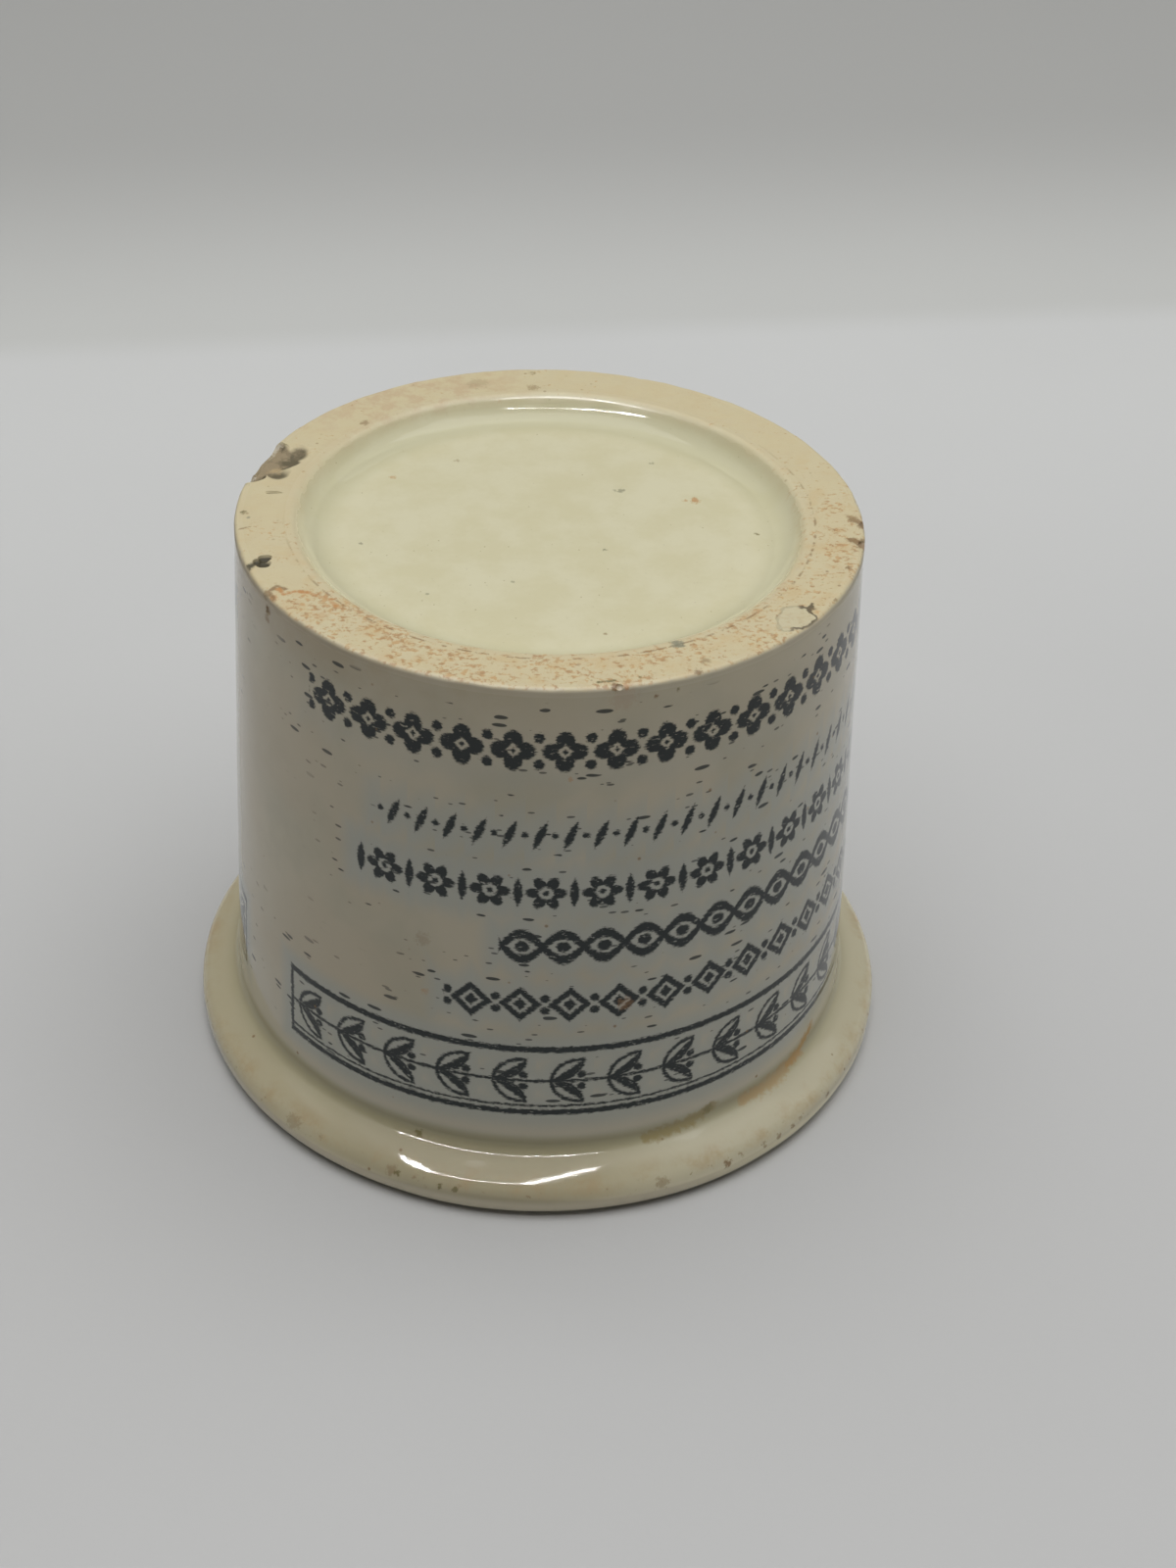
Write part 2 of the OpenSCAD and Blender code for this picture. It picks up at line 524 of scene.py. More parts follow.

# %% [markdown]
# The four pieces take the places of the four solids, which are hidden. They ride on the pot's one body.
# The table also gives each a slot name, which nothing below reads. Shading is smooth, but stays sharp
# where two faces meet at a clear angle, so the broken edges read as broken.

# %% Put the pieces in place of the solids
SHARP = math.radians(38)
PLACES = (
    (clay, "clay_body", "bare_clay"),
    (outer, "outer_glaze", "wall_glaze"),
    (inner, "inner_glaze", "lining_glaze"),
    (base, "base_glaze", "pooled_glaze"),
)
for piece, node, slot in PLACES:
    bpy.ops.object.select_all(action="DESELECT")
    piece.select_set(True)
    bpy.context.view_layer.objects.active = piece
    bpy.ops.object.shade_smooth_by_angle(angle=SHARP)
    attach(piece, "root")
    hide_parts(node)
print("pieces:", [piece.name for piece, node, slot in PLACES])

# %% [markdown]
# Finishes are node trees. A tree is easier to read as sums, so a small class stands for one number on
# a socket: adding or multiplying two of them adds a Math node.

# %% Sums that make nodes
class Number:
    """A socket that carries one number."""

    def __init__(self, finish, socket):
        self.finish = finish
        self.socket = socket

    def __add__(self, other):
        return self.finish.maths("ADD", self, other)

    def __sub__(self, other):
        return self.finish.maths("SUBTRACT", self, other)

    def __rsub__(self, other):
        return self.finish.maths("SUBTRACT", other, self)

    def __mul__(self, other):
        return self.finish.maths("MULTIPLY", self, other)

    def __truediv__(self, other):
        return self.finish.maths("DIVIDE", self, other)

    def __rtruediv__(self, other):
        return self.finish.maths("DIVIDE", other, self)

    def __abs__(self):
        return self.finish.maths("ABSOLUTE", self)

    __radd__ = __add__
    __rmul__ = __mul__


# %% [markdown]
# Another class stands for a whole finish. One of its methods adds any node, from its type, its settings
# and its sockets. The others are short names for what the finishes below need most.

# %% Finishes
class Finish:
    """A material whose nodes are added by name."""

    def __init__(self, name):
        self.material = bpy.data.materials.new(name)
        self.material.use_nodes = True
        self.tree = self.material.node_tree
        self.shader = self.tree.nodes["Principled BSDF"]

    def node(self, kind, settings=(), sockets=()):
        """Adds a node, sets it, and gives its sockets their values or links."""
        node = self.tree.nodes.new("ShaderNode" + kind)
        for name, value in dict(settings).items():
            setattr(node, name, value)
        for key, value in dict(sockets).items():
            self.feed(node.inputs[key], value)
        return node

    def feed(self, socket, value):
        """Links a socket or sets its own value."""
        source = value.socket if isinstance(value, Number) else value
        if isinstance(source, bpy.types.NodeSocket):
            self.tree.links.new(source, socket)
        else:
            socket.default_value = source

    def maths(self, operation, *values):
        node = self.node("Math", {"operation": operation}, enumerate(values))
        return Number(self, node.outputs[0])

    def fade(self, value, start, end):
        """0 up to start and 1 from end on, with a soft step between."""
        ends = {"Value": value, "From Min": start, "From Max": end}
        return Number(self, self.node("MapRange", {"interpolation_type": "SMOOTHSTEP"}, ends).outputs[0])

    def near(self, value, middle, width):
        """1 at the middle, falling to 0 at a width either side of it."""
        return self.fade(abs(value - middle), width, 0)

    def mix(self, share, first, second):
        """The first colour with a share of the second mixed in."""
        node = self.node("Mix", {"data_type": "RGBA"}, {0: share, 6: first, 7: second})
        return node.outputs[2]

    def noise(self, place, scale, detail=2.0, roughness=0.5):
        """Soft noise about one half, with lumps of about 1 / scale."""
        sockets = {"Vector": place, "Scale": scale, "Detail": detail, "Roughness": roughness}
        return Number(self, self.node("TexNoise", (), sockets).outputs[0])

    def dots(self, place, scale):
        """Distance to the nearest of many scattered points, in cells of 1 / scale."""
        return Number(self, self.node("TexVoronoi", (), {"Vector": place, "Scale": scale}).outputs[0])

    def vector(self, x, y, z):
        return self.node("CombineXYZ", (), enumerate((x, y, z))).outputs[0]

    def pot_place(self):
        """The place on the pot in millimetres: a vector, then X, Y, Z and the distance to the axis."""
        source = self.node("TexCoord").outputs["Object"]
        place = self.node("VectorMath", {"operation": "SCALE"}, {0: source, "Scale": 1 / MM}).outputs[0]
        parts = [Number(self, part) for part in self.node("SeparateXYZ", (), {0: place}).outputs]
        return place, *parts, self.hypot(parts[0], parts[1])

    def hypot(self, x, y):
        return self.maths("SQRT", x * x + y * y)

    def away(self, place, point):
        """Distance in millimetres from a point."""
        node = self.node("VectorMath", {"operation": "DISTANCE"}, {0: place, 1: point})
        return Number(self, node.outputs["Value"])

    def from_line(self, place, start, end):
        """Distance in millimetres from a straight line between two points."""
        run = Vector(end) - Vector(start)
        ahead = self.node("VectorMath", {"operation": "DOT_PRODUCT"}, {0: place, 1: run})
        share = (Number(self, ahead.outputs["Value"]) - run.dot(Vector(start))) / run.length_squared
        held = self.maths("MINIMUM", self.maths("MAXIMUM", share, 0), 1)
        nearest = self.node("VectorMath", {"operation": "MULTIPLY_ADD"}, {0: run, 1: held, 2: start})
        return self.away(place, nearest.outputs[0])

    def from_azimuth(self, x, y, middle):
        """Angle in degrees round the pot from an azimuth, which is 0 in front and grows to the right."""
        turned = math.radians(middle)
        ahead = x * math.sin(turned) - y * math.cos(turned)
        aside = x * math.cos(turned) + y * math.sin(turned)
        return self.maths("ARCTAN2", aside, ahead) * math.degrees(1)

    def bump(self, height, distance, strength=1.0):
        sockets = {"Height": height, "Distance": distance, "Strength": strength}
        return self.node("Bump", (), sockets).outputs[0]

    def dress(self, piece, colour, roughness, normal, ior=1.5):
        """Feeds the shader and gives the material to a piece."""
        self.feed(self.shader.inputs["Base Color"], colour)
        self.feed(self.shader.inputs["Roughness"], roughness)
        self.feed(self.shader.inputs["Normal"], normal)
        self.shader.inputs["IOR"].default_value = ior
        piece.data.materials.clear()
        piece.data.materials.append(self.material)
        print(self.material.name, "has", len(self.tree.nodes), "nodes")


def rgb(red, green, blue):
    return (red, green, blue, 1.0)


# %% [markdown]
# Most marks on an old pot are single spots of dirt and iron. Each is written down by its azimuth, its
# radius, its height and its size, and one helper mixes the whole list into a colour. Noise added to the
# distance makes the spots ragged. Stains that have crept along are bent lines, which a second helper
# draws from point to point.

# %% Spots and stains
BROWN = rgb(0.21, 0.12, 0.045)
ORANGE = rgb(0.46, 0.23, 0.08)
GREY = rgb(0.19, 0.19, 0.13)
OLIVE = rgb(0.16, 0.135, 0.05)


def on_pot(azimuth, radius, height):
    """A point in millimetres from its azimuth in degrees, radius and height."""
    turned = math.radians(azimuth)
    return radius * math.sin(turned), -radius * math.cos(turned), height


def spotted(f, place, colour, spots):
    """A colour with spots of azimuth, radius, height, half size, tint and strength."""
    ragged = f.noise(place, 3.6, 4.0, 0.75) - 0.5
    for azimuth, radius, height, size, tint, strength in spots:
        away = f.away(place, on_pot(azimuth, radius, height)) + ragged * (size * 3.2)
        colour = f.mix(f.fade(away, size * 1.2, size * 0.5) * strength, colour, tint)
    return colour


def stained(f, place, colour, stains):
    """A colour with bent lines of half width, tint and strength through points on the pot."""
    ragged = f.noise(place, 2.4, 4.0, 0.7) - 0.5
    for half_width, tint, strength, *points in stains:
        ends = [on_pot(*point) for point in points]
        away = f.from_line(place, ends[0], ends[1])
        for start, end in zip(ends[1:], ends[2:]):
            away = f.maths("MINIMUM", away, f.from_line(place, start, end))
        away = away + ragged * (half_width * 3.0)
        colour = f.mix(f.fade(away, half_width * 1.3, half_width * 0.3) * strength, colour, tint)
    return colour


# %% [markdown]
# The bare clay shows on the foot ring and in the chips. It is a fine cream clay, mottled with tan, with
# specks of iron that are densest at the front and on the right. Its colours and its single marks are
# listed first.

# %% Colours and marks of the bare clay
CREAM_CLAY = rgb(0.56, 0.485, 0.30)
PALE_CLAY = rgb(0.57, 0.515, 0.335)
TAN_CLAY = rgb(0.54, 0.405, 0.21)
PINK_CLAY = rgb(0.50, 0.37, 0.225)
IRON = rgb(0.34, 0.16, 0.045)
PALE_IRON = rgb(0.48, 0.275, 0.105)
BROKEN = rgb(0.285, 0.225, 0.135)
BROKEN_DARK = rgb(0.115, 0.095, 0.052)
CHIP_DARK = rgb(0.042, 0.034, 0.012)
FLAKE = rgb(0.53, 0.485, 0.325)
CRACK = rgb(0.10, 0.075, 0.04)
NOTCH_SPOTS = (
    (-110.5, 16.3, 35.9, 1.0, BROKEN_DARK, 0.8),
    (-105.5, 16.2, 35.9, 0.8, BROKEN_DARK, 0.5),
    (-100.5, 17.3, 35.7, 0.8, BROKEN_DARK, 0.6),
    (-104.8, 17.1, 35.6, 0.5, TAN_CLAY, 0.5),
)
SMALL_CHIP = (-68.2, 17.65, HEIGHT)
RING_STAINS = (
    (0.3, CHIP_DARK, 0.95, (-69.0, 17.3, 36), (-67.3, 18.35, 36)),
    (0.13, OLIVE, 1.0, (-94.4, 16.75, 36), (-94.8, 16.0, 36)),
    (0.09, BROWN, 0.7, (-80.3, 18.3, 36), (-81.2, 17.5, 36)),
    (0.17, BROWN, 0.8, (-55.3, 18.35, 36), (-58.3, 18.2, 36), (-59.1, 17.55, 36), (-57.6, 17.3, 36)),
    (0.18, ORANGE, 0.9, (-58.2, 17.6, 36), (-56.2, 17.6, 36), (-55.8, 16.9, 36), (-54.4, 16.4, 36)),
    (0.16, ORANGE, 0.6, (-54.4, 16.4, 36), (-51.0, 15.9, 36), (-46.0, 15.9, 36)),
    (0.12, OLIVE, 0.95, (8.9, 17.85, 36), (11.6, 17.8, 36)),
    (0.32, BROWN, 0.75, (91.0, 17.7, 36), (88.2, 18.4, 36)),
    (0.3, BROWN, 0.85, (82.6, 17.6, 36), (81.0, 18.4, 36)),
)
RING_SPOTS = (
    (-86.6, 17.9, 36, 0.2, OLIVE, 0.9),
    (-84.7, 17.6, 36, 0.14, GREY, 0.6),
    (-56.2, 18.3, 36, 0.35, ORANGE, 0.7),
    (-49.5, 15.7, 36, 0.16, ORANGE, 0.8),
    (-47.1, 16.0, 36, 0.18, ORANGE, 0.8),
    (-44.9, 15.7, 36, 0.14, ORANGE, 0.7),
    (-46.0, 17.2, 36, 0.5, ORANGE, 0.3),
    (11.4, 18.3, 36, 0.26, BROWN, 0.9),
    (16.3, 17.75, 36, 0.13, OLIVE, 0.8),
    (26.2, 18.3, 36, 0.28, BROWN, 0.8),
    (27.2, 15.45, 36, 0.4, GREY, 0.85),
    (29.1, 17.6, 36, 0.28, BROWN, 0.55),
    (72.5, 17.9, 36, 0.24, BROWN, 0.75),
    (61.0, 18.4, 36, 0.18, BROWN, 0.7),
    (-131.4, 15.6, 36, 0.3, BROWN, 0.6),
    (-175.3, 15.7, 36, 0.4, BROWN, 0.45),
    (-163.0, 16.8, 36, 0.7, BROWN, 0.25),
)
print(len(RING_SPOTS), "spots and", len(RING_STAINS), "stains on the foot ring")

# %% [markdown]
# On the right a flake of the ring has lifted inside a crack, which is an oval made uneven by noise. The
# glaze laps a little way onto the ring, so the ring's colour is a helper that more than one coat uses.

# %% Colour of the foot ring
FLAKE_AZIMUTH = 51.6
FLAKE_R = 17.4
FLAKE_HALF_LENGTH = 1.4
FLAKE_HALF_WIDTH = 0.95


def flake_and_crack(f, place, x, y):
    """Where the lifted flake is, and the crack round it, which is open on the outer side."""
    turn = math.radians(FLAKE_AZIMUTH)
    aside = x * math.cos(turn) + y * math.sin(turn)
    outward = x * math.sin(turn) - y * math.cos(turn) - FLAKE_R
    across = f.hypot(aside / FLAKE_HALF_LENGTH, outward / FLAKE_HALF_WIDTH)
    rim = across - 1 + (f.noise(place, 1.1, 2.0) - 0.5) * 1.1
    open_side = f.fade(aside * 0.45 + outward, -0.2, 0.25)
    return f.fade(rim, 0.06, -0.06), f.fade(abs(rim), 0.12, 0.05) * (0.22 + 0.78 * open_side)


def ring_colour(f, place, x, y, radius):
    """The colour of the bare foot ring."""
    front = f.fade(abs(f.from_azimuth(x, y, 22)), 115, 62)
    front_left = f.fade(abs(f.from_azimuth(x, y, -38)), 34, 8)
    rear_left = f.fade(abs(f.from_azimuth(x, y, -148)), 34, 10)
    cluster = f.noise(place, 0.6, 3.0, 0.6)
    speck = f.noise(f.vector(x * 0.85, y, 0.0), 2.9, 3.0, 0.68)
    iron = f.fade(speck + cluster * 0.5 + front * 0.12 + front_left * 0.025, 0.885, 1.04)
    mottle = f.fade(f.noise(place, 0.45, 4.0, 0.6), 0.42, 0.66)
    colour = f.mix(mottle * 0.6, CREAM_CLAY, PALE_CLAY)
    colour = f.mix(f.fade(f.noise(place, 0.8, 3.0), 0.48, 0.72) * (0.15 + 0.4 * front), colour, TAN_CLAY)
    blotch = f.fade(f.noise(place, 0.9, 4.0, 0.7), 0.4, 0.65)
    colour = f.mix((0.15 + 0.6 * rear_left) * blotch, colour, PINK_CLAY)
    tone = f.mix(f.fade(f.noise(place, 2.2), 0.4, 0.6), IRON, PALE_IRON)
    colour = f.mix(iron * 0.7, colour, tone)
    freckle = f.fade(f.dots(place, 0.95), 0.13, 0.05) * f.fade(f.noise(place, 0.5, 2.0), 0.42, 0.6)
    colour = f.mix(freckle * 0.6, colour, BROWN)
    seam = f.near(radius, RING_IN, 0.13) * f.fade(f.noise(place, 1.3, 3.0, 0.7), 0.47, 0.57) * front
    colour = f.mix(seam * 0.7, colour, BROWN)
    colour = stained(f, place, spotted(f, place, colour, RING_SPOTS), RING_STAINS)
    flake, crack = flake_and_crack(f, place, x, y)
    return f.mix(crack * 0.9, f.mix(flake * 0.7, colour, FLAKE), CRACK)


# %% [markdown]
# The clay's finish is the ring's colour, but what lies below the ring's face is broken clay, brown and
# grey with old dirt. Fired clay is matt, and its grain is bump.

# %% Bare clay
f = Finish("bare_cream_clay")
place, x, y, z, radius = f.pot_place()
colour = ring_colour(f, place, x, y, radius)
flake, crack = flake_and_crack(f, place, x, y)
broken = f.fade(z, HEIGHT - 0.1, HEIGHT - 0.26) * f.fade(z, HEIGHT - 4, HEIGHT - 3)
scar = f.fade(f.noise(place, 0.75, 4.0, 0.65) + f.fade(radius, 17.6, 16.2) * 0.12, 0.45, 0.62)
small_chip = f.fade(f.away(place, on_pot(*SMALL_CHIP)), 1.5, 1.0)
shard = spotted(f, place, f.mix(scar, BROKEN, BROKEN_DARK), NOTCH_SPOTS)
shard = f.mix(small_chip, shard, CHIP_DARK)
colour = f.mix(broken, colour, shard)
grain = f.noise(place, 5.0, 3.0, 0.7) * 0.5 + f.noise(place, 1.2, 2.0) - crack * 1.5 - flake * 0.5
f.dress(clay, colour, 0.6 + 0.2 * f.noise(place, 0.8), f.bump(grain, 0.0001, 0.6), ior=1.33)

# %% [markdown]
# The coat in the recess under the base is thick and glassy. On the recess's slope and round its foot it
# is a darker grey-green: partly glaze that has run to the side and pooled, partly painted shade, which
# is strongest at the back. It has a few dark and orange spots and some brown dust. Fine rings from the
# turning tool are left in it as bump, and they draw each mirrored lamp out into a dash.

# %% Base glaze
BASE_CREAM = rgb(0.60, 0.56, 0.37)
BASE_PALE = rgb(0.635, 0.60, 0.42)
BASE_POOL_AND_SHADE = rgb(0.505, 0.48, 0.31)
DUST = rgb(0.30, 0.24, 0.14)
TURNING_PITCH = 0.16
RECESS_SPOTS = (
    (116.0, 9.7, RECESS_Z, 0.34, ORANGE, 0.75),
    (117.5, 9.2, RECESS_Z, 0.2, ORANGE, 0.6),
    (140.4, 6.7, RECESS_Z, 0.25, GREY, 0.6),
    (143.0, 6.5, RECESS_Z, 0.16, GREY, 0.6),
    (144.8, 10.65, RECESS_Z, 0.2, GREY, 0.55),
    (-144.9, 10.2, RECESS_Z, 0.2, BROWN, 0.5),
    (-122.1, 11.4, RECESS_Z, 0.22, ORANGE, 0.5),
    (60.8, 3.7, RECESS_Z, 0.14, GREY, 0.7),
    (-43.7, 9.9, RECESS_Z, 0.14, GREY, 0.55),
    (16.6, 11.3, RECESS_Z, 0.14, BROWN, 0.6),
    (92.2, 12.3, RECESS_Z, 0.17, OLIVE, 0.8),
    (-80.3, 11.2, RECESS_Z, 0.14, GREY, 0.6),
    (-20.0, 6.0, RECESS_Z, 0.12, GREY, 0.5),
)

f = Finish("pooled_base_glaze")
place, x, y, z, radius = f.pot_place()
pool_and_shade = f.near(radius, 13.7, 1.7)
front = f.fade(y, 4, -10)
colour = f.mix(f.fade(f.noise(place, 0.3, 4.0, 0.65), 0.35, 0.65), BASE_CREAM, BASE_PALE)
# Painted shade: the darker pooled tint is mixed in more strongly towards the back of the recess.
colour = f.mix(pool_and_shade * (0.6 + 0.35 * f.fade(y, 2, 10)), colour, BASE_POOL_AND_SHADE)
colour = f.mix(f.fade(f.noise(place, 2.2, 4.0, 0.7), 0.62, 0.76) * (0.15 + 0.25 * front), colour, DUST)
dust = f.fade(f.dots(place, 1.5), 0.09, 0.04) * f.fade(f.noise(place, 0.5) + front * 0.1, 0.5, 0.62)
colour = f.mix(dust * 0.75, colour, DUST)
colour = spotted(f, place, colour, RECESS_SPOTS)
lap = f.fade(radius + (f.noise(place, 1.0, 3.0) - 0.5) * 0.5, RING_R - 0.75, RING_R + 0.35)
colour = f.mix(lap, colour, ring_colour(f, place, x, y, radius))
turning = f.maths("SINE", (radius + 0.3 * f.noise(place, 0.4)) * (math.tau / TURNING_PITCH))
ripple = 0.3 * f.noise(place, 0.5, 2.0) + 0.012 * turning * f.fade(y, 4, 9) - dust * 0.3
f.dress(base, colour, 0.03 + 0.12 * dust + 0.5 * lap, f.bump(ripple, 0.00003, 0.8), ior=1.43)

# %% [markdown]
# The lining is the same cream glaze as the rest. It is out of sight until the pot is turned over, so
# it is kept quiet: a soft mottle, a little dust and a darker tone down in the bottom.

# %% Lining
LINING = rgb(0.60, 0.565, 0.40)
LINING_PALE = rgb(0.62, 0.60, 0.46)
LINING_DEEP = rgb(0.50, 0.46, 0.31)

f = Finish("cream_lining_glaze")
place, x, y, z, radius = f.pot_place()
colour = f.mix(f.fade(f.noise(place, 0.3, 3.0), 0.4, 0.65) * 0.4, LINING, LINING_PALE)
colour = f.mix(f.fade(z, 20, 32) * 0.6, colour, LINING_DEEP)
dust = f.fade(f.dots(place, 0.9), 0.09, 0.04) * f.fade(f.noise(place, 0.4), 0.45, 0.6)
colour = f.mix(dust * 0.7, colour, DUST)
f.dress(inner, colour, 0.12 + 0.1 * dust, f.bump(f.noise(place, 0.6, 2.0), 0.00005, 0.8))

# %% [markdown]
# The outside carries a printed ornament under the glaze, in an ink of very dark green. It is drawn
# as distances: for every place on the wall, how far it is from the nearest shape, negative inside it.
# The smaller of two distances joins two shapes, and the larger keeps what they share. A row of equal
# motifs is one motif on a coordinate that starts again after each repeat.

# %% Shapes for the print, as distances in millimetres
def oval(f, x, y, half_width, half_height):
    return (f.hypot(x / half_width, y / half_height) - 1) * min(half_width, half_height)


def lozenge(x, y, half_width, half_height):
    return (abs(x) / half_width + abs(y) / half_height - 1) * min(half_width, half_height) * 0.75


def leaf(f, x, y, half_length, half_width):
    """A pointed leaf along x: what two wide circles share."""
    bow = (half_length**2 + half_width**2) / (2 * half_width)
    return f.hypot(x, abs(y) + (bow - half_width)) - bow


def turned(x, y, degrees):
    """The coordinates as seen along a tilted axis."""
    along, across = math.cos(math.radians(degrees)), math.sin(math.radians(degrees))
    return x * along + y * across, y * along - x * across


def join(f, *distances):
    nearest = distances[0]
    for distance in distances[1:]:
        nearest = f.maths("MINIMUM", nearest, distance)
    return nearest


def shared(f, first, second):
    return f.maths("MAXIMUM", first, second)


def stroke(distance, half_width):
    """The outline of a shape, as a line of its own."""
    return abs(distance) - half_width


def repeat(f, along, pitch):
    """A coordinate that runs from minus half a pitch to half a pitch, again and again."""
    return f.maths("FLOORED_MODULO", along, pitch) - pitch / 2


# %% [markdown]
# Six rows of common ornament go round the wall, heavy and light in turn: a laurel between rules, a
# chain of lozenges, a twist with dots, rosettes, slanting leaves, and bold four-lobed flowers by the
# foot. Each has a helper that draws one motif about the middle of the row.

# %% Motifs of the print
def laurel_row(f, x, up, pitch):
    beside = abs(up)
    leaf_x, leaf_y = turned(x + 0.75, beside - 0.1, 40)
    blade = leaf(f, leaf_x - 1.15, leaf_y, 1.2, 0.5)
    shade = shared(f, blade, leaf_y)
    berry = oval(f, x - 0.95, beside - 0.45, 0.28, 0.28)
    stem = beside - 0.12
    low_rule = stroke(up + 2.45, 0.21)
    thin_rule = stroke(up + 1.95, 0.08)
    high_rule = stroke(up - 2.4, 0.23)
    return join(f, stroke(blade, 0.13), shade, berry, stem, low_rule, thin_rule, high_rule)


def lozenge_row(f, x, up, pitch):
    diamond = lozenge(x, up, 0.98, 1.0)
    middle = lozenge(x, up, 0.42, 0.46)
    bead = oval(f, abs(x) - pitch / 2, abs(up) - 0.45, 0.29, 0.29)
    return join(f, stroke(diamond, 0.21), middle, bead)


def twist_row(f, x, up, pitch):
    wave = f.maths("COSINE", x * (math.pi / pitch))
    strand = (abs(up) - wave * 0.9) * 0.72
    eye = oval(f, x, up, 0.42, 0.38)
    return join(f, stroke(strand, 0.24), eye)


def rosette_row(f, x, up, pitch):
    angle = f.maths("ARCTAN2", up, x)
    lobes = abs(f.maths("COSINE", angle * 3))
    flower = f.hypot(x, up) - (0.68 + 0.5 * lobes)
    heart = oval(f, x, up, 0.32, 0.32)
    side = leaf(f, up, abs(x) - pitch / 2, 1.0, 0.27)
    return join(f, shared(f, flower * 0.8, 0.1 - heart), heart + 0.14, side)


def slant_row(f, x, up, pitch):
    leaf_x, leaf_y = turned(x, up, 68)
    blade = leaf(f, leaf_x, leaf_y, 1.0, 0.24)
    bead = oval(f, abs(x) - pitch / 2, up, 0.2, 0.2)
    return join(f, blade, bead)


def bold_row(f, x, up, pitch):
    angle = f.maths("ARCTAN2", up, x)
    lobes = abs(f.maths("COSINE", angle * 2))
    flower = (f.hypot(x, up) - (0.76 + 0.52 * lobes)) * 0.8
    heart = lozenge(x, up, 0.36, 0.36)
    corner_dot = oval(f, abs(x) - pitch / 2, abs(up) - 0.85, 0.32, 0.32)
    return join(f, shared(f, flower, 0.06 - heart), heart + 0.14, corner_dot)


# %% [markdown]
# The rows are put at their heights and repeated round the wall. Each stops short of the join in the
# print, at its own distance from it, and upright bars close the laurel's rules there.

# %% Rows of the print
# Each row with the height of its middle, its repeat, how many there are, and what laps past its ends
PRINT_ROWS = (
    (laurel_row, 8.8, 3.36, 34, 0.0),
    (lozenge_row, 14.6, 2.85, 32, 0.2),
    (twist_row, 18.8, 2.36, 36, 0.15),
    (rosette_row, 22.6, 3.2, 32, 0.3),
    (slant_row, 26.5, 1.72, 58, 0.25),
    (bold_row, 32.0, 2.9, 38, 0.16),
)
ROW_REACH = 2.9
PRINT_MIDDLE = 120
PRINT_R = 19.25
# Upright bars that close the laurel's rules: their run from the middle, height and half length
BAR_RUN = 57.0
BAR_Z = 8.8
BAR_REACH = 2.5


def print_distance(f, along, z):
    """Distance to the nearest ink, from the run along the wall and the height."""
    rows = []
    for row, middle, pitch, count, lap in PRINT_ROWS:
        up = z - middle
        past_end = abs(along) - (pitch * count / 2 + lap)
        motifs = row(f, repeat(f, along, pitch), up, pitch)
        rows.append(shared(f, motifs, shared(f, past_end, abs(up) - ROW_REACH)))
    end_bars = shared(f, stroke(abs(along) - BAR_RUN, 0.14), abs(z - BAR_Z) - BAR_REACH)
    return join(f, end_bars, *rows)


print(len(PRINT_ROWS), "rows of print")

# %% [markdown]
# The outer glaze is creamy white on the wall, yellower on the flange, and a dark green-grey in the hollow
# between them, partly because it is thickest there and partly as painted shade of that crease. The
# flange's front carries painted shade, and its right and its outer side carry painted light, as does the
# foot on the right. Brown stains sit in the hollow, on the flange's edge and under the foot. The colours
# and the single marks are listed first.

# %% Colours and marks of the outer glaze
WALL_WHITE = rgb(0.49, 0.44, 0.33)
WALL_PINK = rgb(0.475, 0.41, 0.30)
WALL_GREY = rgb(0.43, 0.395, 0.295)
WALL_LOW = rgb(0.53, 0.49, 0.385)
FOOT_TAN = rgb(0.39, 0.325, 0.215)
FOOT_PALE_LIT = rgb(0.50, 0.445, 0.32)
INK_BLEED = rgb(0.40, 0.408, 0.36)
FLANGE_CREAM = rgb(0.495, 0.435, 0.28)
FLANGE_PALE = rgb(0.505, 0.46, 0.32)
LIT_FLANGE_SIDE = rgb(0.60, 0.54, 0.40)
LIT_FLANGE_SIDE_RIGHT = rgb(0.74, 0.68, 0.47)
FLANGE_TAN = rgb(0.45, 0.34, 0.195)
FLANGE_FRONT_SHADE = rgb(0.40, 0.35, 0.225)
FLANGE_RIGHT_LIT = rgb(0.56, 0.52, 0.375)
HOLLOW_GREEN_AND_SHADE = rgb(0.305, 0.28, 0.17)
INK = rgb(0.003, 0.009, 0.010)
STAIN_OLIVE = rgb(0.30, 0.235, 0.095)
STAIN_ORANGE = rgb(0.42, 0.25, 0.09)
REDDISH = rgb(0.42, 0.29, 0.20)
FLANGE_TOP_Z = NECK_Z + 0.3
HOLLOW_STAINS = (
    (0.5, STAIN_ORANGE, 0.5, (60.5, 19.95, 4.6), (55.9, 20.0, 3.8), (48.0, 20.04, 3.5), (40.0, 20.04, 3.5)),
    (0.3, STAIN_ORANGE, 0.8, (60.5, 19.95, 4.5), (57.0, 20.0, 3.9), (52.0, 20.0, 3.6)),
    (0.45, STAIN_OLIVE, 0.7, (33.0, 19.97, 4.2), (27.4, 20.0, 3.75), (20.0, 20.04, 3.5)),
)
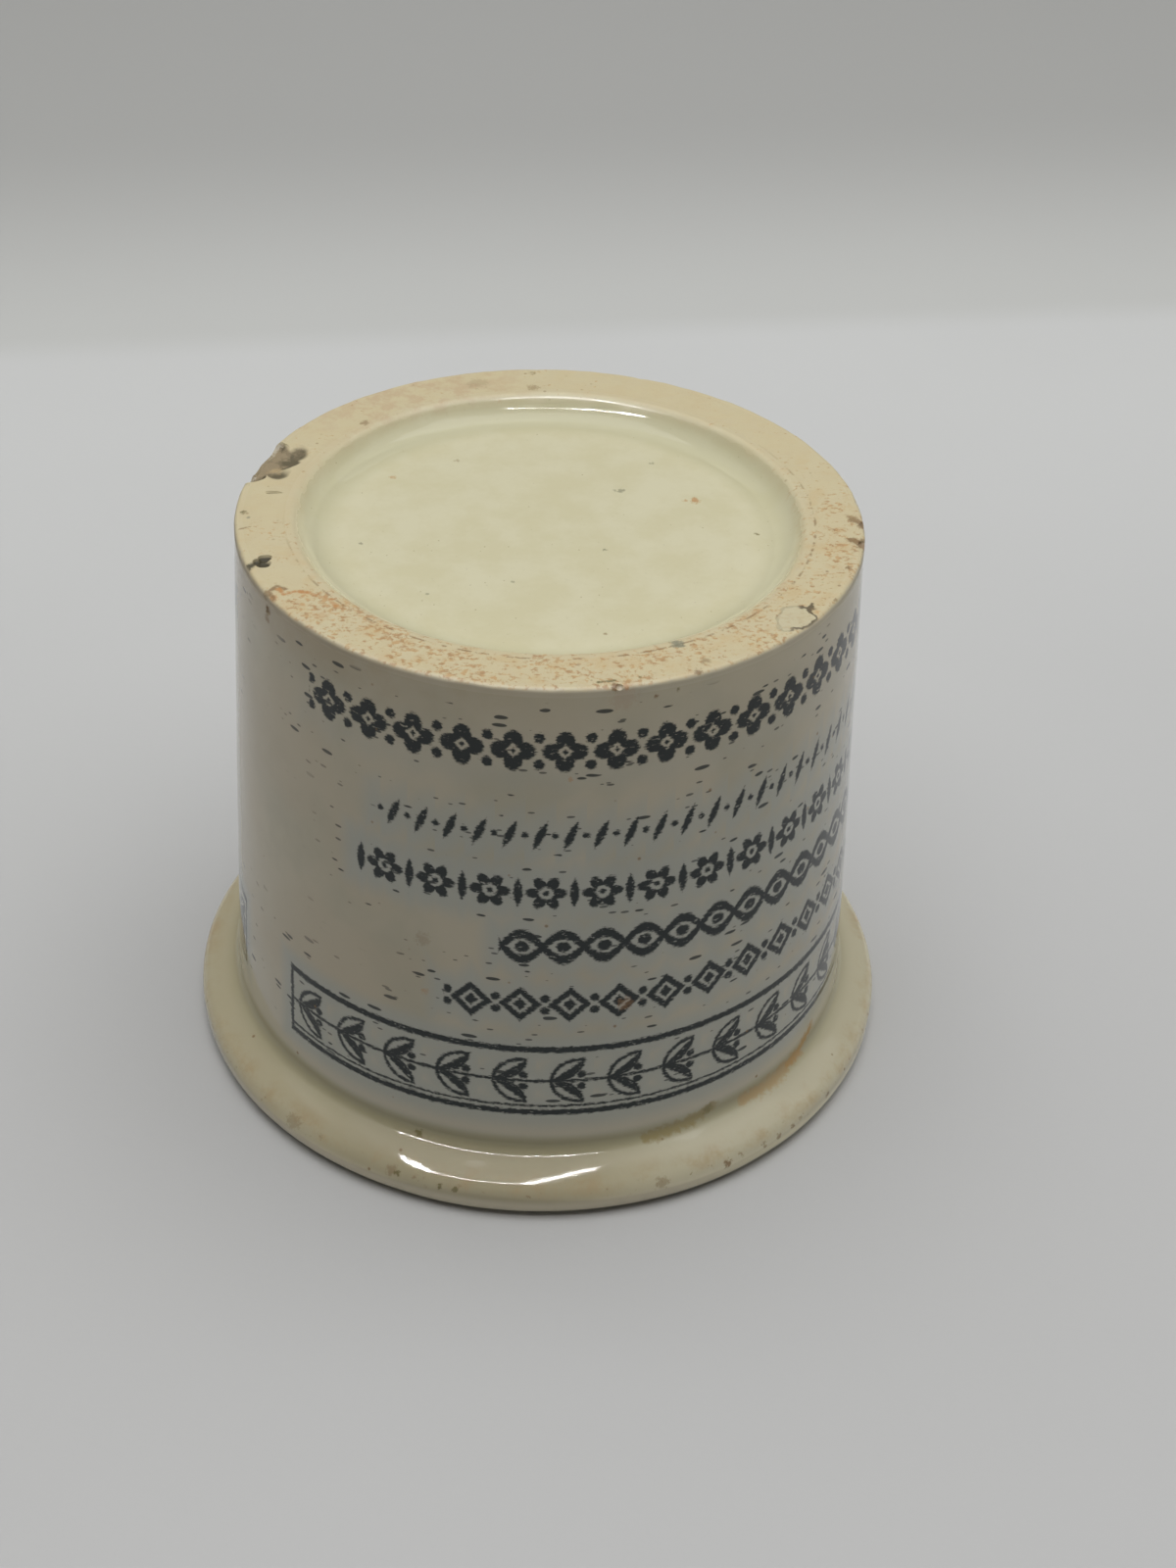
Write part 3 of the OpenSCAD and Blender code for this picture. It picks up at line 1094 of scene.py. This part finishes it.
OUTER_SPOTS = (
    (-107.0, 18.6, 36.2, 2.2, BROKEN, 0.95),
    (-101.0, 18.5, 36.1, 1.1, BROKEN_DARK, 0.9),
    (88.5, 18.5, 35.8, 0.6, BROWN, 0.75),
    (81.5, 18.5, 35.8, 0.65, BROWN, 0.8),
    (31.9, 19.97, 4.14, 0.4, OLIVE, 0.5),
    (-20.5, 20.1, 3.45, 0.26, OLIVE, 0.8),
    (-22.6, 22.3, 1.95, 0.42, BROWN, 0.4),
    (-21.6, 22.32, 1.9, 0.24, OLIVE, 0.75),
    (-14.6, 22.4, 1.8, 0.2, OLIVE, 0.85),
    (-12.1, 22.4, 1.8, 0.2, OLIVE, 0.75),
    (32.1, 22.5, 1.6, 0.34, BROWN, 0.8),
    (39.4, 22.5, 1.6, 0.28, BROWN, 0.6),
    (42.6, 22.5, 1.6, 0.25, BROWN, 0.6),
    (45.9, 22.5, 1.55, 0.2, BROWN, 0.6),
    (47.8, 22.5, 1.7, 0.22, BROWN, 0.5),
    (55.5, 22.5, 1.5, 0.25, BROWN, 0.6),
    (20.5, 22.4, 1.8, 0.45, BROWN, 0.4),
    (-42.0, 22.35, 1.9, 0.6, BROWN, 0.3),
    (-57.2, 18.55, 35.0, 0.3, BROWN, 0.8),
    (-57.4, 18.6, 34.4, 0.26, BROWN, 0.7),
    (-58.0, 18.4, 35.9, 0.35, BROWN, 0.6),
    (13.0, 18.5, 35.2, 0.8, REDDISH, 0.3),
    (11.4, 18.5, 35.9, 0.25, BROWN, 0.9),
    (13.6, 18.45, 35.85, 0.2, ORANGE, 0.7),
    (18.5, 18.55, 35.05, 0.17, BROWN, 0.8),
    (22.5, 18.55, 35.2, 0.15, OLIVE, 0.7),
    (4.4, 18.8, 30.2, 0.2, ORANGE, 0.55),
    (-20.4, 19.3, 18.2, 0.5, BROWN, 0.25),
    (-19.7, 19.5, 14.4, 0.25, ORANGE, 0.35),
    (15.0, 19.45, 14.3, 0.5, ORANGE, 0.3),
)
print(len(OUTER_SPOTS), "spots and", len(HOLLOW_STAINS), "stains on the outer glaze")

# %% [markdown]
# The ground colour changes with the height and, on the flange and under the foot, with the azimuth.
# Much of the change with azimuth is painted light and shade: lighter to the right, darker at the
# flange's front. What grows towards the right has to be gone again at the back, where the azimuth
# starts anew.

# %% Ground of the outer glaze
f = Finish("printed_outer_glaze")
place, x, y, z, radius = f.pot_place()
along = f.from_azimuth(x, y, PRINT_MIDDLE) * math.radians(PRINT_R)
azimuth = f.from_azimuth(x, y, 0)
gone_at_back = f.fade(azimuth, 180, 120)

colour = f.mix(f.fade(f.noise(place, 0.16, 3.0), 0.38, 0.64), WALL_WHITE, WALL_GREY)
colour = f.mix(f.fade(f.noise(place, 0.1, 2.0), 0.45, 0.65) * 0.6, colour, WALL_PINK)
colour = f.mix(f.fade(z, 13, 5), colour, WALL_LOW)
# Painted light: the tan stain under the foot grows paler towards the right, where more light falls.
lit_rightwards = f.fade(azimuth, -45, 30) * gone_at_back
tan = f.fade(z, HEIGHT - 4, HEIGHT - 0.6) * (0.5 + 0.5 * f.fade(f.noise(place, 0.5, 3.0), 0.35, 0.65))
colour = f.mix(tan * 0.8, colour, f.mix(lit_rightwards, FOOT_TAN, FOOT_PALE_LIT))
cream = f.mix(f.noise(place, 0.4, 3.0), FLANGE_CREAM, FLANGE_PALE)
blush = f.near(z, 2.2, 0.8) * f.fade(f.noise(place, 0.35, 4.0, 0.7), 0.42, 0.68)
# Painted shade: the front of the flange, left of the middle, is darkened.
cream = f.mix(f.fade(abs(azimuth + 12), 32, 14) * 0.7, cream, FLANGE_FRONT_SHADE)
# Painted light: the flange grows lighter towards the right, where more light falls.
cream = f.mix(f.fade(azimuth, 8, 30) * gone_at_back * 0.8, cream, FLANGE_RIGHT_LIT)
# Painted light: the flange's outer side is lighter than its top, and lighter still on the right.
side = f.mix(f.fade(azimuth, 20, 45) * gone_at_back, LIT_FLANGE_SIDE, LIT_FLANGE_SIDE_RIGHT)
cream = f.mix(blush * 0.7, f.mix(f.fade(z, 1.7, 1.0), cream, side), FLANGE_TAN)
colour = f.mix(f.fade(z, FLANGE_TOP_Z + 0.9, FLANGE_TOP_Z), colour, cream)
# Partly the glaze pooled in the hollow, partly painted shade of the crease between wall and flange.
hollow = f.near(z, FLANGE_TOP_Z + 0.15, 1.0)
colour = f.mix(hollow * 0.8, colour, HOLLOW_GREEN_AND_SHADE)

# %% [markdown]
# The ink comes next. It is broken and a little ragged, with stray dashes, as a paper transfer leaves it,
# and round it the glaze has taken a little of its colour.

# %% Ink of the print
ragged = f.noise(f.vector(along * 2.6, z * 7.0, 0.0), 1.0, 4.0, 0.75) - 0.5
clear = print_distance(f, along, z)
colour = f.mix(f.fade(clear, 1.6, 0.1) * f.fade(z, 34, 24) * 0.85, colour, INK_BLEED)
ink = f.fade(clear + ragged * 0.55, 0.07, -0.07)
gaps = f.fade(f.noise(f.vector(along * 1.6, z * 4.5, 7.0), 1.0, 3.0, 0.7), 0.60, 0.70)
slip = f.vector(along * 0.42 + z * 0.03, z * 1.6, 3.0)
size = 0.21 * f.fade(f.noise(f.vector(along * 0.5, z * 0.9, 5.0), 1.0, 2.0), 0.38, 0.6)
dashes = f.fade(f.dots(slip, 1.0) - size, 0.02, -0.02)
fine_slip = f.vector(along * 0.75 - z * 0.05, z * 2.4, 9.0)
fine_size = 0.2 * f.fade(f.noise(f.vector(along * 0.4, z * 0.7, 1.0), 1.0, 2.0), 0.42, 0.64)
fine_dashes = f.fade(f.dots(fine_slip, 1.0) - fine_size, 0.02, -0.02)
dashes = f.maths("MAXIMUM", dashes, fine_dashes * 0.8)
strays = dashes * f.fade(clear, 5.0, 1.0) * f.fade(z, 6.0, 7.0) * f.fade(z, 35.2, 34.6)
ink = f.maths("MAXIMUM", ink * (1 - gaps * 0.8), strays * 0.9)
colour = f.mix(ink * 0.98, colour, INK)

# %% [markdown]
# Stains, specks and the lap of the foot ring's colour go over the ink. The glaze is smooth, with the
# slight unevenness of a dipped coat as bump, and dull where the foot's edge is worn.

# %% Stains and wear of the outer glaze
colour = stained(f, place, colour, HOLLOW_STAINS)
edge_spots = f.near(z, 1.8, 0.5) * f.fade(f.noise(place, 1.5, 3.0, 0.7), 0.6, 0.7)
colour = f.mix(edge_spots * 0.5, colour, BROWN)
specks = f.fade(f.dots(place, 0.42), 0.06, 0.025)
colour = f.mix(specks * 0.7, colour, BROWN)
lap = f.fade(z + (f.noise(place, 1.4, 3.0) - 0.5) * 0.2, HEIGHT - 0.28, HEIGHT - 0.1)
colour = f.mix(lap, colour, ring_colour(f, place, x, y, radius))
colour = spotted(f, place, colour, OUTER_SPOTS)

crease = f.near(z, FLANGE_EDGE + 0.4, 0.8)
peel = 0.5 * f.noise(place, 0.7, 2.0) + 0.1 * f.noise(place, 2.6, 2.0)
peel = peel + crease * 0.1 * f.noise(place, 3.5, 2.0)
worn = f.fade(z, HEIGHT - 0.8, HEIGHT - 0.4)
f.dress(outer, colour, 0.05 + 0.5 * worn, f.bump(peel, 0.00003, 0.8), ior=1.43)

# %% [markdown]
# The floor stands for one sheet of pale card that bends up behind the pot. From above, the bend shows
# only as a change of tone, so the floor is a plane and the tone is painted on it: painted light that
# grows towards the back, and painted shade on the card beyond the bend. A faint mottle is the card's own.

# %% Floor
FLOOR_SIZE = 1.6
BEND_Y = 97.5
BEND_SLANT = 0.148
CARD = rgb(0.505, 0.505, 0.50)
CARD_FAR_LIT = rgb(0.605, 0.61, 0.60)
CARD_SHADED_BACK_AND_MOTTLE = rgb(0.405, 0.405, 0.39)
CARD_LOW_BACK_SHADED = rgb(0.55, 0.555, 0.535)

bpy.ops.object.select_all(action="DESELECT")
bpy.ops.mesh.primitive_plane_add(size=FLOOR_SIZE)
floor = bpy.context.object
floor.name = "floor"
f = Finish("pale_card")
place, x, y, z, radius = f.pot_place()
depth = y - x * BEND_SLANT - BEND_Y
# Painted light: the card grows lighter towards the bend at the back.
colour = f.mix(f.fade(depth, -120, -5), CARD, CARD_FAR_LIT)
# Painted shade: past the bend the card darkens, as the rising card would.
colour = f.mix(f.fade(depth, -3, 4), colour, f.mix(f.fade(depth, 0, 60), CARD_LOW_BACK_SHADED, CARD_SHADED_BACK_AND_MOTTLE))
colour = f.mix(f.fade(f.noise(place, 0.02, 3.0), 0.3, 0.7) * 0.06, colour, CARD_SHADED_BACK_AND_MOTTLE)
f.dress(floor, colour, 0.85, f.bump(f.noise(place, 2.0, 3.0), 0.00003, 0.4))

# %% [markdown]
# The light is soft and comes from above, as in a small white photo box. Three panels of growing size
# make a ceiling with no hard edge for the glaze to mirror, and the sky gives a little from all round.
# It is a little stronger on the right. A soft bar above and in front of the pot fills in its front. In
# the place of that bar the glaze mirrors a row of small lamps, as bright lines in the recess and on the
# flange. So the bar is hidden from glossy rays, and the row of lamps from diffuse rays.

# %% Light
WORLD_LEVEL = 0.11
# Each ceiling panel's place along Y, width, depth and power in watts
CEILING_X = 0.05
CEILING_Z = 0.5
CEILING = (
    (0.06, 0.5, 0.28, 1.23),
    (0.1, 0.8, 0.5, 1.42),
    (0.16, 1.1, 0.75, 1.7),
)
FILL_PLACE = (0.015, -0.1, 0.25)
FILL_WIDTH = 0.25
FILL_DEPTH = 0.05
FILL_POWER = 0.1
ROW_POWER = 1.1
ROW_LAMPS = 18
ROW_START = Vector((-0.135, -0.1, 0.25))
ROW_END = Vector((0.055, -0.1, 0.25))
ROW_LAMP_WIDTH = 0.0032
ROW_LAMP_DEPTH = 0.009


def lamp(name, place, aim, width, depth, power):
    """A rectangular lamp that shines from one place at another."""
    bpy.ops.object.select_all(action="DESELECT")
    bpy.ops.object.light_add(type="AREA", location=place)
    light = bpy.context.object
    light.name = name
    light.rotation_euler = (Vector(aim) - Vector(place)).to_track_quat("-Z", "Y").to_euler()
    light.data.shape = "RECTANGLE"
    light.data.size = width
    light.data.size_y = depth
    light.data.energy = power
    return light


world = bpy.data.worlds.new("soft_room")
world.use_nodes = True
world.node_tree.nodes["Background"].inputs["Color"].default_value = rgb(1, 1, 1)
world.node_tree.nodes["Background"].inputs["Strength"].default_value = WORLD_LEVEL
bpy.context.scene.world = world
for k, (panel_y, width, depth, power) in enumerate(CEILING):
    lamp(f"ceiling_{k}", (CEILING_X, panel_y, CEILING_Z), (CEILING_X, panel_y, 0), width, depth, power)
below_fill = (FILL_PLACE[0], FILL_PLACE[1], 0)
fill = lamp("fill", FILL_PLACE, below_fill, FILL_WIDTH, FILL_DEPTH, FILL_POWER)
fill.visible_glossy = False
for k in range(ROW_LAMPS):
    place = ROW_START.lerp(ROW_END, k / (ROW_LAMPS - 1))
    below = (place.x, place.y, 0)
    small = lamp(f"row_{k:02d}", place, below, ROW_LAMP_WIDTH, ROW_LAMP_DEPTH, ROW_POWER / ROW_LAMPS)
    small.visible_diffuse = False
print(len(CEILING), "ceiling panels and a row of", ROW_LAMPS, "small lamps")
